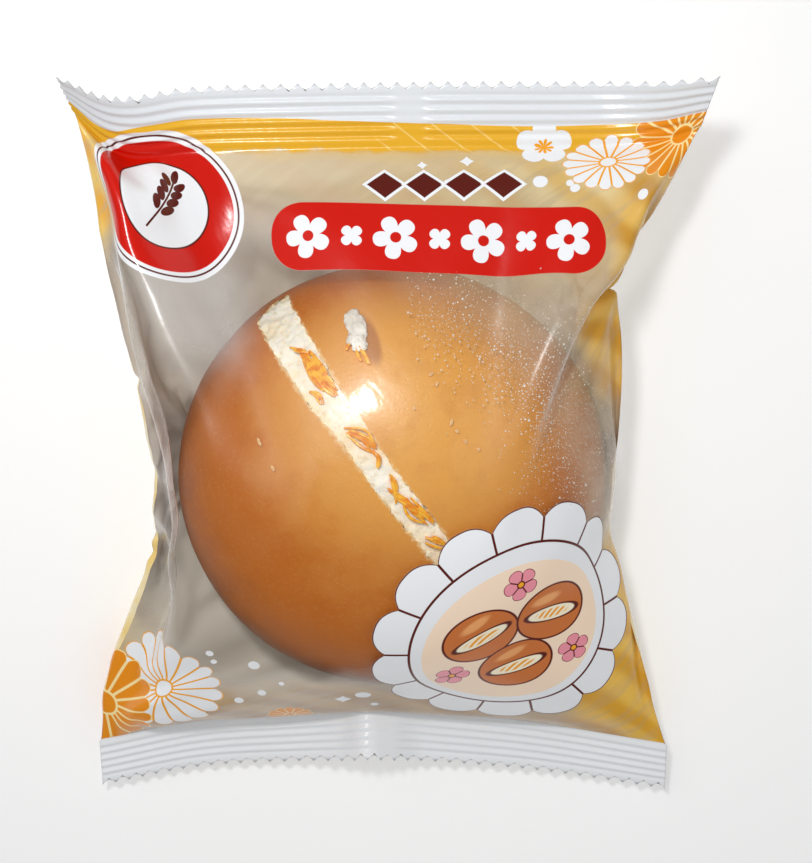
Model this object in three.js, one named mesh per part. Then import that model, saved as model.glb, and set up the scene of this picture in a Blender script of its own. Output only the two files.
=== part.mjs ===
import * as THREE from "three";

// A cream bun sealed in a slack pillow pack of thin film, lying on its back with its crimped
// end seals at -Y and +Y. Millimetres, +Z up. The pack is one closed solid: a tube of film drawn
// over the bun, pressed flat at both ends into crimped strips with saw-tooth edges.

// Flat sizes of the film
const SEAL_WIDTH = 14;
const SEAL_THICK = 0.9;
const TOOTH_DEPTH = 1.8;
const TEETH = 40;
const CRIMP_LINES = 5;
const CRIMP_DEPTH = 0.35;
const CRIMP_START = 1.2;
const CRIMP_PITCH = 2.1;

// The pack rests on the flat middle of its back.
const BASE_Z = 0;

// Inner lines of the two end seals from left to right: share of the width, x, y, z
const TOP_INNER = [
  [0.00, -66.7, 78.4, 33.0],
  [0.08, -61.1, 71.1, 28.0],
  [0.15, -54.9, 69.0, 25.0],
  [0.24, -43.5, 70.2, 22.0],
  [0.40, -20.9, 70.7, 20.5],
  [0.60, 7.5, 71.1, 20.0],
  [0.84, 44.3, 71.5, 21.0],
  [0.93, 56.6, 72.6, 23.5],
  [1.00, 64.4, 75.2, 28.0],
];
const BOTTOM_INNER = [
  [0.00, -75.0, -74.2, 9.0],
  [0.18, -49.6, -69.2, 8.0],
  [0.35, -24.2, -66.6, 9.0],
  [0.42, -14.0, -64.6, 11.0],
  [0.47, -7.7, -62.2, 14.0],
  [0.52, -1.0, -63.6, 12.0],
  [0.58, 7.0, -65.8, 9.5],
  [0.78, 36.5, -70.0, 8.0],
  [1.00, 68.6, -75.4, 9.0],
];

// Free edges of the two end seals, in the same order
const TOP_OUTER = [
  [0.00, -67.0, 84.4, 44.5],
  [0.08, -61.6, 82.2, 36.5],
  [0.15, -55.4, 81.6, 31.0],
  [0.24, -44.5, 83.8, 26.0],
  [0.40, -21.0, 84.6, 23.0],
  [0.60, 7.4, 84.8, 22.0],
  [0.84, 43.8, 84.9, 25.0],
  [0.93, 56.3, 84.6, 30.5],
  [1.00, 65.6, 84.6, 37.0],
];
const BOTTOM_OUTER = [
  [0.00, -75.4, -88.2, 6.5],
  [0.18, -50.2, -83.1, 6.0],
  [0.35, -24.6, -80.1, 8.0],
  [0.42, -14.2, -77.6, 12.0],
  [0.47, -7.7, -75.4, 17.0],
  [0.52, -1.1, -76.8, 14.0],
  [0.58, 7.0, -79.4, 9.5],
  [0.78, 36.8, -84.0, 6.5],
  [1.00, 69.2, -88.4, 6.5],
];

// Folded sides of the pack between the seals: y, x, z. The left side is pulled in once, the
// right side is nipped where the film is caught against the bun.
const LEFT_SIDE = [
  [-74.2, -75.0, 9.0],
  [-65.0, -74.6, 10.5],
  [-52.0, -71.0, 13.0],
  [-36.0, -64.2, 16.5],
  [-23.0, -59.4, 19.0],
  [-8.0, -56.8, 20.0],
  [9.0, -58.0, 21.5],
  [27.0, -60.2, 25.0],
  [47.0, -63.2, 27.0],
  [66.0, -64.8, 29.0],
  [78.4, -66.7, 33.0],
];
const RIGHT_SIDE = [
  [-75.4, 68.6, 9.0],
  [-66.0, 65.0, 11.0],
  [-49.0, 60.4, 14.5],
  [-34.0, 56.2, 18.0],
  [-22.5, 53.0, 20.5],
  [-14.4, 48.6, 22.0],
  [-6.0, 50.2, 22.5],
  [10.0, 51.0, 23.0],
  [31.0, 50.4, 25.0],
  [41.0, 48.6, 29.0],
  [49.5, 51.6, 29.5],
  [58.5, 56.6, 28.0],
  [68.0, 61.2, 27.0],
  [75.2, 64.4, 28.0],
];

// Front of the pack along its length: y, height of its middle, how square the section is on the
// left and on the right, and how far the film lies flat at the left edge, as a share
const FRONT = [
  [-66.0, 13.4, 3.0, 3.0, 0.00],
  [-58.0, 22.5, 3.4, 2.4, 0.06],
  [-50.0, 32.0, 3.2, 1.9, 0.14],
  [-40.0, 40.0, 3.2, 1.7, 0.20],
  [-28.0, 45.5, 4.0, 1.8, 0.14],
  [-14.0, 48.8, 5.0, 2.0, 0.07],
  [0.0, 49.4, 6.0, 2.1, 0.06],
  [14.0, 47.6, 5.0, 2.1, 0.05],
  [28.0, 42.4, 3.6, 2.3, 0.03],
  [40.0, 37.0, 2.8, 2.6, 0.00],
  [52.0, 31.8, 2.7, 3.0, 0.00],
  [62.0, 27.0, 3.2, 3.2, 0.00],
  [71.0, 20.7, 4.0, 4.0, 0.00],
];

// Back of the pack along its length: y, height of its middle, how square the section is
const BACK = [
  [-66.0, 8.0, 3.0],
  [-58.0, 7.5, 3.4],
  [-50.0, 3.5, 3.2],
  [-40.0, -1.0, 3.0],
  [-28.0, -6.0, 2.6],
  [-14.0, -9.0, 3.0],
  [0.0, -9.0, 3.0],
  [14.0, -8.0, 2.6],
  [28.0, -5.0, 2.4],
  [40.0, 2.5, 3.2],
  [52.0, 11.0, 4.0],
  [62.0, 19.0, 6.0],
  [71.0, 20.2, 8.0],
];

// Shoulders where the slack front stands up beside the bun: start and end in x and y, height,
// half width
const SHOULDERS = [
  [-56.0, 58.0, -51.0, 30.0, 12.0, 6.0],
  [48.0, 54.0, 32.0, 27.0, 8.5, 6.5],
];

// Creases pressed into the front: start and end in x and y, depth, half width
const CREASES = [
  [51.0, 41.5, 43.0, 32.0, 2.6, 4.0],
  [50.5, -14.0, 40.0, -25.0, 2.6, 4.5],
  [-36.0, 60.0, -32.0, 0.0, 6.5, 8.0],
];

// How steeply the section turns in to its edges
const ROUNDING = 0.62;

// How far up the pack the bends of a seal line are felt, as a share of its length
const BEND_REACH = 0.14;

const COLUMNS = 40;
const RINGS = 36;

// Reads a row of a table at t with a smooth curve through its rows.
function station(table, t) {
  let k = 0;
  while (k < table.length - 2 && t > table[k + 1][0]) {
    k += 1;
  }
  const a = table[k];
  const b = table[k + 1];
  const before = table[Math.max(k - 1, 0)];
  const after = table[Math.min(k + 2, table.length - 1)];
  const span = b[0] - a[0];
  const q = THREE.MathUtils.clamp((t - a[0]) / span, 0, 1);
  const out = [];
  for (let c = 1; c < a.length; c += 1) {
    const m0 = ((b[c] - before[c]) / (b[0] - before[0])) * span;
    const m1 = ((after[c] - a[c]) / (after[0] - a[0])) * span;
    const q2 = q * q;
    const q3 = q2 * q;
    out.push(
      (2 * q3 - 3 * q2 + 1) * a[c] + (q3 - 2 * q2 + q) * m0
      + (3 * q2 - 2 * q3) * b[c] + (q3 - q2) * m1,
    );
  }
  return out;
}

function point(table, t) {
  return new THREE.Vector3(...station(table, t));
}

// A side of the pack at v, from 0 at the bottom seal to 1 at the top seal
function side(table, v) {
  const y = THREE.MathUtils.lerp(table[0][0], table[table.length - 1][0], v);
  const [x, z] = station(table, y);
  return new THREE.Vector3(x, y, z);
}

// A seal line as the film feels it at a distance: its bends fade into the straight line
// between its ends.
function pulled(inner, u, distance) {
  const chord = point(inner, 0).lerp(point(inner, 1), u);
  return chord.lerp(point(inner, u), Math.exp(-distance / BEND_REACH));
}

// The sheet half way between front and back, stretched between the two seals and the two sides
function between(u, v) {
  const low = pulled(BOTTOM_INNER, u, v);
  const high = pulled(TOP_INNER, u, 1 - v);
  const left = side(LEFT_SIDE, v).sub(point(BOTTOM_INNER, 0).lerp(point(TOP_INNER, 0), v));
  const right = side(RIGHT_SIDE, v).sub(point(BOTTOM_INNER, 1).lerp(point(TOP_INNER, 1), v));
  return low.lerp(high, v).addScaledVector(left, 1 - u).addScaledVector(right, u);
}

// How near the place x, y is to a line on the front: the share of the line passed there, and a
// closeness that falls smoothly from 1 on the line
function nearLine(x0, y0, x1, y1, half, x, y) {
  const dx = x1 - x0;
  const dy = y1 - y0;
  const along = ((x - x0) * dx + (y - y0) * dy) / (dx * dx + dy * dy);
  const passed = THREE.MathUtils.clamp(along, 0, 1);
  const away = Math.hypot(x - x0 - passed * dx, y - y0 - passed * dy) / half;
  return { passed, close: Math.exp(-away * away) };
}

// How much the shoulders and creases add to the front's height at a place. A crease fades out
// towards its end.
function relief(x, y) {
  let height = 0;
  for (const [x0, y0, x1, y1, tall, half] of SHOULDERS) {
    height += tall * nearLine(x0, y0, x1, y1, half, x, y).close;
  }
  for (const [x0, y0, x1, y1, deep, half] of CREASES) {
    const { passed, close } = nearLine(x0, y0, x1, y1, half, x, y);
    height -= deep * (1 - passed) * close;
  }
  return height;
}

// Front and back of the film at column share u and v, at least the seal's thickness apart
function films(u, v) {
  const swell = Math.sin(Math.PI * v) ** 0.5;
  const eased = THREE.MathUtils.lerp(u, 0.5 - 0.5 * Math.cos(Math.PI * u), 0.75 * swell);
  const sheet = between(eased, v);
  const centre = between(0.5, v);
  const [top, leftSquare, rightSquare, flat] = station(FRONT, centre.y);
  const [bottom, square] = station(BACK, centre.y);
  const across = Math.abs(2 * eased - 1);
  const onLeft = eased < 0.5;
  const reach = onLeft ? Math.min(1, across * (1 + flat)) : across;
  const fullFront = (1 - reach ** (onLeft ? leftSquare : rightSquare)) ** ROUNDING;
  const fullBack = (1 - across ** square) ** ROUNDING;
  const half = SEAL_THICK / 2;
  const form = relief(sheet.x, sheet.y) * Math.min(1, 4 * fullFront) * swell;
  const rise = Math.max(half, (top - centre.z) * fullFront + form);
  const fall = Math.max(half, (centre.z - bottom) * fullBack);
  const front = sheet.clone();
  const back = sheet.clone();
  front.z += rise;
  back.z = Math.max(BASE_Z, back.z - fall);
  return [front, back];
}

// A strip of an end seal: share u of its width, distance t from its inner line
function strip(inner, outer, outward, u, t) {
  const a = point(inner, u);
  const b = point(outer, u);
  const step = 0.004;
  const u0 = Math.max(0, u - step);
  const u1 = Math.min(1, u + step);
  const along = point(inner, u1).sub(point(inner, u0)).normalize();
  const away = b.clone().sub(a).normalize();
  const normal = along.cross(away).multiplyScalar(outward).normalize();
  const fade = THREE.MathUtils.smoothstep(t, 0, CRIMP_START);
  normal.lerp(new THREE.Vector3(0, 0, 1), 1 - fade).normalize();
  const last = CRIMP_START + CRIMP_LINES * CRIMP_PITCH;
  let wave = 0;
  if (t > CRIMP_START && t < last) {
    wave = CRIMP_DEPTH * Math.sin((2 * Math.PI * (t - CRIMP_START)) / CRIMP_PITCH);
  }
  const place = a.addScaledVector(away, t);
  const half = SEAL_THICK / 2;
  return [
    place.clone().addScaledVector(normal, wave + half),
    place.clone().addScaledVector(normal, wave - half),
  ];
}

const positions = [];
const indices = [];

function put(p) {
  positions.push(p.x, p.y, p.z);
  return positions.length / 3 - 1;
}

// A ring of the tube: the front from left to right, then the back from right to left
function ring(pairs) {
  const front = pairs.map((pair) => put(pair[0]));
  const back = pairs.map((pair) => put(pair[1]));
  return [...front, ...back.reverse()];
}

function join(lower, upper) {
  const n = lower.length;
  for (let i = 0; i < n; i += 1) {
    const j = (i + 1) % n;
    indices.push(lower[i], lower[j], upper[j]);
    indices.push(lower[i], upper[j], upper[i]);
  }
}

// The crimped rows of a seal, from its inner line outwards
function sealRows(inner, outer, outward) {
  const rows = [];
  const step = CRIMP_PITCH / 4;
  for (let k = 0; k < CRIMP_LINES * 2; k += 1) {
    const t = CRIMP_START + CRIMP_PITCH * (k / 2) + step;
    const pairs = [];
    for (let i = 0; i <= COLUMNS; i += 1) {
      pairs.push(strip(inner, outer, outward, i / COLUMNS, t));
    }
    rows.push(ring(pairs));
  }
  return rows;
}

// The saw-tooth edge has a point at the middle of every column and a notch at its ends.
function teeth(inner, outer, outward, root, flip) {
  const front = [];
  const back = [];
  for (let i = 0; i <= 2 * TEETH; i += 1) {
    const deep = i % 2 === 0 ? TOOTH_DEPTH : 0;
    const [f, b] = strip(inner, outer, outward, i / (2 * TEETH), SEAL_WIDTH - deep);
    front.push(put(f));
    back.push(put(b));
  }
  const n = root.length;
  const face = (a, b, c) => (flip ? indices.push(a, c, b) : indices.push(a, b, c));
  for (let i = 0; i < TEETH; i += 1) {
    const f0 = root[i];
    const f1 = root[i + 1];
    const b0 = root[n - 1 - i];
    const b1 = root[n - 2 - i];
    const k = 2 * i;
    face(f0, f1, front[k + 1]);
    face(f0, front[k + 1], front[k]);
    face(f1, front[k + 2], front[k + 1]);
    face(b0, back[k + 1], b1);
    face(b0, back[k], back[k + 1]);
    face(b1, back[k + 1], back[k + 2]);
    for (const m of [k, k + 1]) {
      face(front[m], front[m + 1], back[m + 1]);
      face(front[m], back[m + 1], back[m]);
    }
  }
  const last = 2 * TEETH;
  face(root[0], front[0], back[0]);
  face(root[0], back[0], root[n - 1]);
  face(root[TEETH], back[last], front[last]);
  face(root[TEETH], root[TEETH + 1], back[last]);
}

const rows = [];
const bottomRows = sealRows(BOTTOM_INNER, BOTTOM_OUTER, -1);
const topRows = sealRows(TOP_INNER, TOP_OUTER, 1);
rows.push(...bottomRows.slice().reverse());
for (let j = 0; j <= RINGS; j += 1) {
  const pairs = [];
  for (let i = 0; i <= COLUMNS; i += 1) {
    pairs.push(films(i / COLUMNS, j / RINGS));
  }
  rows.push(ring(pairs));
}
rows.push(...topRows);
for (let j = 0; j < rows.length - 1; j += 1) {
  join(rows[j], rows[j + 1]);
}
teeth(BOTTOM_INNER, BOTTOM_OUTER, -1, rows[0], true);
teeth(TOP_INNER, TOP_OUTER, 1, rows[rows.length - 1], false);

const geometry = new THREE.BufferGeometry();
geometry.setAttribute("position", new THREE.Float32BufferAttribute(positions, 3));
geometry.setIndex(indices);

// The middle of the pack's box stands at the origin, its lowest face on z = 0.
geometry.computeBoundingBox();
const box = geometry.boundingBox;
geometry.translate(-(box.min.x + box.max.x) / 2, -(box.min.y + box.max.y) / 2, -box.min.z);
geometry.computeVertexNormals();

const film = new THREE.MeshStandardMaterial({ color: 0xf0b850, roughness: 0.25, metalness: 0 });
const pack = new THREE.Mesh(geometry, film);
pack.name = "sealed_pack";

const group = new THREE.Group();
group.name = "cream_bun";
group.add(pack);

export default group;
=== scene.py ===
import math

import bmesh
import bpy
import numpy as np
from mathutils import Matrix, Vector


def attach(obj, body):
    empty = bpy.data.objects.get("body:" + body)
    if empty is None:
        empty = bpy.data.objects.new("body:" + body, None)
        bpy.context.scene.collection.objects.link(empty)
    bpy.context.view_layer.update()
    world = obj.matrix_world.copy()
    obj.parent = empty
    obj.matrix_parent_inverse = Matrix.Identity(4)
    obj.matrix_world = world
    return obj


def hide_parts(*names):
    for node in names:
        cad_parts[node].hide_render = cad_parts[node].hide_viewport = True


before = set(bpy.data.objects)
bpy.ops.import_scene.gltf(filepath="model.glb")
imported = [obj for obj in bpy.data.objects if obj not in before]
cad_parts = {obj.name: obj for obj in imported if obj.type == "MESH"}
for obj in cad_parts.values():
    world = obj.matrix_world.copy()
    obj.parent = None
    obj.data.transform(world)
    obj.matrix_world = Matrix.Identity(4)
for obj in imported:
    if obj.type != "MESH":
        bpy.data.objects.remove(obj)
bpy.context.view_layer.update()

# Bun
# A soft round milk bun, baked on a tray, so its foot is flat and its top an even dome with an
# egg-washed crust. A knife has slit it from rim to rim, a little to one side of the middle.
MM = 0.001
PER_METRE = 1000.0
PACK_SHIFT = Vector((3.098, 1.710, 0.0))
BUN_CENTRE = Vector((-0.8, -4.0, 0.0)) + PACK_SHIFT
BUN_RADIUS, BUN_FOOT_RADIUS = 50.2, 41.0
BUN_RIM_HEIGHT, BUN_DOME_HEIGHT = 16.3, 31.5
BUN_UNDER_HEIGHT = BUN_RIM_HEIGHT / math.sqrt(1.0 - (BUN_FOOT_RADIUS / BUN_RADIUS) ** 2)
# the film under the bun lifts it off the table
BUN_LIFT = 0.6
SLIT_WAY, SLIT_SIDE = Vector((0.597, -0.802, 0.0)), Vector((0.802, 0.597, 0.0))
SLIT_OFFSET, SLIT_WIDTH = 3.3, 5.9
SLIT_START, SLIT_LENGTH = -48.6, 112.0
# the slit gapes at its upper left end: where it starts to open, over what length, by what share
GAPE_FROM, GAPE_LENGTH, GAPE, GAPE_ASIDE = -8.0, 32.0, 0.42, 0.6


def select_only(obj):
    bpy.ops.object.select_all(action="DESELECT")
    obj.select_set(True)
    bpy.context.view_layer.objects.active = obj


def add(primitive, name, **sizes):
    """A new primitive, with nothing else selected."""
    bpy.ops.object.select_all(action="DESELECT")
    primitive(**sizes)
    bpy.context.object.name = name
    return bpy.context.object


def settle(obj):
    """Turns, scale and place go into the mesh."""
    select_only(obj)
    bpy.ops.object.transform_apply(location=True, rotation=True, scale=True)


def smooth(obj):
    select_only(obj)
    bpy.ops.object.shade_smooth()


def pick(obj, test):
    """Opens a piece for editing with only the points that pass a test selected."""
    bpy.ops.object.mode_set(mode="EDIT")
    bpy.ops.mesh.select_mode(type="VERT")
    bpy.ops.mesh.select_all(action="DESELECT")
    bpy.ops.object.mode_set(mode="OBJECT")
    for vert in obj.data.vertices:
        vert.select = bool(test(vert.co))
    bpy.ops.object.mode_set(mode="EDIT")


def apply(obj, kind, **values):
    select_only(obj)
    mod = obj.modifiers.new(kind.lower(), kind)
    for name, value in values.items():
        setattr(mod, name, value)
    bpy.ops.object.modifier_apply(modifier=mod.name)


def roughen(obj, name, size, strength, middle=0.5):
    """Pushes a surface in and out by clouds of a size and strength in millimetres."""
    clouds = bpy.data.textures.new(name, "CLOUDS")
    clouds.noise_scale = size * MM
    clouds.noise_depth = 2
    apply(obj, "DISPLACE", texture=clouds, strength=strength * MM, mid_level=middle)


def spot(along, across, height):
    """A place on the bun, measured along and across its slit and up from the table."""
    place = BUN_CENTRE + SLIT_WAY * along + SLIT_SIDE * (SLIT_OFFSET + across)
    return Vector((place.x, place.y, height)) * MM


def dome_height(x, y):
    """Height of the crust over a place in the pack, both in millimetres."""
    far = math.hypot(x - BUN_CENTRE.x, y - BUN_CENTRE.y) / BUN_RADIUS
    return BUN_RIM_HEIGHT + BUN_DOME_HEIGHT * math.sqrt(max(0.0, 1.0 - far * far))


def bun_form(name, shrink=0.0, segments=128, rings=64):
    """The bun's outer form, or one that lies shrink millimetres inside it."""
    radius = BUN_RADIUS - shrink
    obj = add(bpy.ops.mesh.primitive_uv_sphere_add, name, segments=segments, ring_count=rings,
              radius=radius * MM, location=(0, 0, 0))
    for way, height in ((1, BUN_DOME_HEIGHT - shrink), (-1, BUN_UNDER_HEIGHT - shrink)):
        pick(obj, lambda co: co.z * way > 1e-6)
        bpy.ops.transform.resize(value=(1, 1, height / radius), center_override=(0, 0, 0))
    bpy.ops.mesh.select_all(action="SELECT")
    foot = -(BUN_RIM_HEIGHT - shrink) * MM
    bpy.ops.mesh.bisect(plane_co=(0, 0, foot), plane_no=(0, 0, -1), use_fill=True, clear_outer=True)
    bpy.ops.object.mode_set(mode="OBJECT")
    obj.location = (BUN_CENTRE + Vector((0, 0, BUN_RIM_HEIGHT + BUN_LIFT))) * MM
    settle(obj)
    return obj


def slit_bar(name, width, low, high):
    """A long bar down the middle of the slit, finely cut up so that it can be roughened."""
    bar = add(bpy.ops.mesh.primitive_cube_add, name, size=1)
    bar.scale = (width * MM, SLIT_LENGTH * MM, (high - low) * MM)
    bar.rotation_euler.z = math.atan2(SLIT_WAY.y, SLIT_WAY.x) + math.pi / 2
    bar.location = spot(SLIT_START + SLIT_LENGTH / 2, 0.0, (low + high) / 2)
    settle(bar)
    apply(bar, "REMESH", mode="VOXEL", voxel_size=0.8 * MM)
    for vert in bar.data.vertices:
        away = vert.co / MM - BUN_CENTRE
        share = min(1.0, max(0.0, (GAPE_FROM - away.dot(SLIT_WAY)) / GAPE_LENGTH))
        aside = away.dot(SLIT_SIDE) - SLIT_OFFSET - GAPE_ASIDE * share
        vert.co += SLIT_SIDE * aside * GAPE * share * MM
    return bar


class Value:
    """What a node gives. It adds and multiplies like a number, and [] is another output."""

    def __init__(self, f, socket):
        self.f, self.socket = f, socket

    def __getitem__(self, key):
        return Value(self.f, self.socket.node.outputs[key])

    def __add__(self, other):
        return self.f.math("ADD", self, other)

    def __sub__(self, other):
        return self.f.math("SUBTRACT", self, other)

    def __rsub__(self, other):
        return self.f.math("SUBTRACT", other, self)

    def __mul__(self, other):
        return self.f.math("MULTIPLY", self, other)

    def __truediv__(self, other):
        return self.f.math("DIVIDE", self, other)

    def __rtruediv__(self, other):
        return self.f.math("DIVIDE", other, self)

    def __pow__(self, other):
        return self.f.math("POWER", self, other)

    def __abs__(self):
        return self.f.math("ABSOLUTE", self)


class Finish:
    """Lays out the nodes of a finish: numbers, colours or values go in, values come out."""

    def __init__(self, tree):
        self.tree = tree

    def fill(self, node, values):
        for key, value in values.items():
            socket = node.inputs[key]
            if isinstance(value, Value):
                self.tree.links.new(value.socket, socket)
            elif socket.type == "RGBA":
                socket.default_value = (*value, 1)
            else:
                socket.default_value = value

    def coat(self, values):
        """Sets the main shader of a material."""
        shader = self.tree.nodes["Principled BSDF"]
        self.fill(shader, values)
        return Value(self, shader.outputs[0])

    def node(self, kind, values=None, give=0, **settings):
        node = self.tree.nodes.new("ShaderNode" + kind)
        for name, value in settings.items():
            setattr(node, name, value)
        self.fill(node, values or {})
        return Value(self, node.outputs[give])

    def group(self, tree, values):
        return self.node("Group", values, node_tree=tree)

    def math(self, operation, *values):
        return self.node("Math", dict(enumerate(values)), operation=operation)

    def vector(self, operation, *values):
        give = "Value" if operation in ("LENGTH", "DISTANCE", "DOT_PRODUCT") else "Vector"
        return self.node("VectorMath", dict(enumerate(values)), give, operation=operation)

    def scaled(self, place, times):
        return self.node("VectorMath", {0: place, "Scale": times}, operation="SCALE")

    def apart(self, place):
        """The three measures of a place."""
        return self.node("SeparateXYZ", {"Vector": place})

    def rise(self, value, low, high, start=0.0, end=1.0):
        """Goes smoothly from start to end as the value goes from low to high."""
        places = {"Value": value, "From Min": low, "From Max": high, "To Min": start, "To Max": end}
        return self.node("MapRange", places, interpolation_type="SMOOTHSTEP")

    def fall(self, value, low, high, most=1.0):
        return self.rise(value, low, high, most, 0.0)

    def over(self, share, under, top):
        """Lays one colour over another."""
        return self.node("Mix", {0: share, 6: under, 7: top}, 2, data_type="RGBA")

    def noise(self, place, size, detail=2.0, rough=0.5):
        """Cloudy noise with lumps of a size in the units of the place."""
        values = {"Vector": place, "Scale": 1.0 / size, "Detail": detail, "Roughness": rough}
        return self.node("TexNoise", values, "Fac")

    def bump(self, height, strength, distance):
        return self.node("Bump", {"Height": height, "Strength": strength, "Distance": distance})


def ink(*colour):
    """Red, green and blue as they are read off a screen, from 0 to 255, made linear."""
    return tuple(c / 255 / 12.92 if c <= 10 else ((c / 255 + 0.055) / 1.055) ** 2.4 for c in colour)


def finish(name):
    """A new material and its nodes."""
    material = bpy.data.materials.new(name)
    material.use_nodes = True
    return material, Finish(material.node_tree)


def new_group(name, given, taken):
    """A group of nodes that is given some values, named by kind, and from which others are taken."""
    tree = bpy.data.node_groups.new(name, "ShaderNodeTree")
    for sockets, way in ((given, "INPUT"), (taken, "OUTPUT")):
        for kind, keys in sockets.items():
            for key in keys:
                tree.interface.new_socket(key, in_out=way, socket_type="NodeSocket" + kind)
    f = Finish(tree)
    inputs, results = tree.nodes.new("NodeGroupInput"), tree.nodes.new("NodeGroupOutput")
    return f, Value(f, inputs.outputs[0]), results


bun = bun_form("bun")
roughen(bun, "bun_lean", 38.0, 1.2, 0.85)
cutter = slit_bar("slit_cutter", SLIT_WIDTH, 14.0, 60.0)
roughen(cutter, "slit_wander", 7.0, 1.6)
roughen(cutter, "slit_tear", 1.2, 1.6)

# fine baked surface: gives pores, blotches and a height, from a place in metres
f, given, results = new_group("baked_grain", {"Vector": ["Place"], "Float": ["Pore size"]},
                              {"Float": ["Pores", "Blotches", "Height"]})
place = f.scaled(given["Place"], PER_METRE)
cells = f.node("TexVoronoi", {"Vector": place, "Scale": 1.0 / given["Pore size"]}, "Distance")
pores = f.fall(cells, 0.05, 0.42)
height = f.noise(place, 0.55, 3.0, 0.65) * 0.5 - pores * 0.35 + f.noise(place, 3.2, 3.0) * 1.1
f.fill(results, {"Pores": pores, "Blotches": f.noise(place, 9.0, 4.0, 0.6), "Height": height})
baked_grain = f.tree


def baked(name, pore_size):
    """A new finish with a place on the piece, in metres, and the grain there."""
    material, f = finish(name)
    place = f.node("TexCoord", give="Object")
    return material, f, place, f.group(baked_grain, {"Place": place, "Pore size": pore_size})


# The crust is browner down its sides and pale at the foot. Its darker lower left and paler upper
# right are painted shade and light, and its golden top is partly a painted highlight of the flash.
# The leans say how much paler the painted light makes it for each metre up or to the right.
PAINTED_LIGHT_UP, PAINTED_LIGHT_RIGHT, LEAST_PAINTED_LIGHT = 300.0, 60.0, -4.0
crust, f, place, grain = baked("crust", 1.1)
apart, blotches = f.apart(place), grain["Blotches"]
height = apart["Z"] * PER_METRE
# painted shade and light: the crust is painted darker towards its lower left and paler up and to the right
height_light_and_blotches = height + f.math("MAXIMUM", apart["Y"] * PAINTED_LIGHT_UP + apart["X"] * PAINTED_LIGHT_RIGHT, LEAST_PAINTED_LIGHT)
height_light_and_blotches = height_light_and_blotches + blotches * 9.0
# browner down the sides: partly the crust's own colour, partly painted shade where the sides turn from the
# flash
browned_and_lit = f.over(f.rise(height, 2.0, 13.0), ink(206, 146, 84), ink(142, 72, 18))
browned_and_lit = f.over(f.rise(height_light_and_blotches, 22.0, 43.0), browned_and_lit, ink(194, 106, 14))
# the pale golden top is partly the crust's own colour and partly a painted highlight of the flash
browned_and_lit = f.over(f.rise(height_light_and_blotches, 42.0, 56.0), browned_and_lit, ink(234, 170, 80))
browned_and_lit = f.over(f.rise(blotches, 0.42, 0.72, 0.0, 0.3), browned_and_lit, ink(190, 110, 36))
browned_and_lit = f.over(grain["Pores"] * 0.12, browned_and_lit, ink(230, 172, 104))
# the crust has frayed along the slit's lips, and its pale crumb shows there
from_centre = f.vector("SUBTRACT", f.scaled(place, PER_METRE), tuple(BUN_CENTRE))
along = f.vector("DOT_PRODUCT", from_centre, tuple(SLIT_WAY))
across = f.vector("DOT_PRODUCT", from_centre, tuple(SLIT_SIDE)) - SLIT_OFFSET
opened = f.fall(along, GAPE_FROM - GAPE_LENGTH, GAPE_FROM)
lip = abs(across + opened * 0.25) - opened * (GAPE * SLIT_WIDTH / 2)
torn = lip + f.noise(place, 0.0011, 3.0) * 2.4
frayed = f.fall(torn, SLIT_WIDTH / 2 + 0.7, SLIT_WIDTH / 2 + 1.9, 0.85)
frayed = frayed * f.rise(along, SLIT_START - 0.2, SLIT_START + 1.2)
browned_and_lit = f.over(frayed, browned_and_lit, ink(240, 206, 152))
# painted shadow: the crust is painted darker beside the smear of cream, where the smear's shadow falls
aside = f.apart(f.vector("SUBTRACT", from_centre, (-4.6, 35.4, 0.0)))
painted_shadow = f.node("CombineXYZ", {0: (aside[0] + aside[1] * 0.3) * 0.4, 1: aside[1] * 0.18})
painted_shadow = f.fall(f.vector("LENGTH", painted_shadow), 0.55, 1.05, 0.6)
f.coat({
    "Base Color": f.over(painted_shadow, browned_and_lit, ink(150, 78, 40)),
    "Roughness": f.rise(blotches, 0.3, 0.7, 0.36, 0.5),
    "Normal": f.bump(grain["Height"], 0.4, 0.00022),
    "Specular IOR Level": 0.35,
})

# Inside, the crumb is soft, pale and full of small torn holes.
crumb, f, place, grain = baked("crumb", 0.9)
f.coat({
    "Base Color": f.over(grain["Pores"], ink(255, 238, 200), ink(232, 190, 128)),
    "Roughness": 0.85,
    "Normal": f.bump(grain["Height"], 0.8, 0.0005),
})
bun.data.materials.append(crust)
cutter.data.materials.append(crumb)
apply(bun, "BOOLEAN", operation="DIFFERENCE", solver="EXACT", object=cutter, material_mode="TRANSFER")
bpy.data.objects.remove(cutter)
select_only(bun)
bpy.ops.object.shade_smooth_by_angle(angle=math.radians(50))
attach(bun, "root")

# Cream filling
# Butter cream piped into the slit while it is held open. It has closed up again round the
# cream, which stands a little below the crust and is torn and lumpy where crumb sticks to it.
cream = slit_bar("cream_filling", SLIT_WIDTH + 1.0, 18.0, 60.0)
limit = bun_form("cream_limit", shrink=1.2, segments=96, rings=48)
apply(cream, "BOOLEAN", operation="INTERSECT", solver="EXACT", object=limit)
bpy.data.objects.remove(limit)
apply(cream, "REMESH", mode="VOXEL", voxel_size=0.7 * MM)
roughen(cream, "cream_folds", 5.0, 1.8, 0.45)
roughen(cream, "cream_lumps", 1.5, 1.5)
smooth(cream)
filling, f, place, grain = baked("cream", 1.6)
pale = f.over(f.rise(grain["Blotches"], 0.35, 0.7), ink(255, 249, 234), ink(255, 234, 196))
f.coat({
    "Base Color": f.over(grain["Pores"] * 0.4, pale, ink(246, 208, 150)),
    "Roughness": f.rise(grain["Blotches"], 0.3, 0.7, 0.35, 0.55),
    "Normal": f.bump(grain["Height"], 0.7, 0.0004),
    "Subsurface Weight": 0.15,
    "Subsurface Radius": (0.003, 0.002, 0.001),
})
cream.data.materials.append(filling)
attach(cream, "root")

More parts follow.
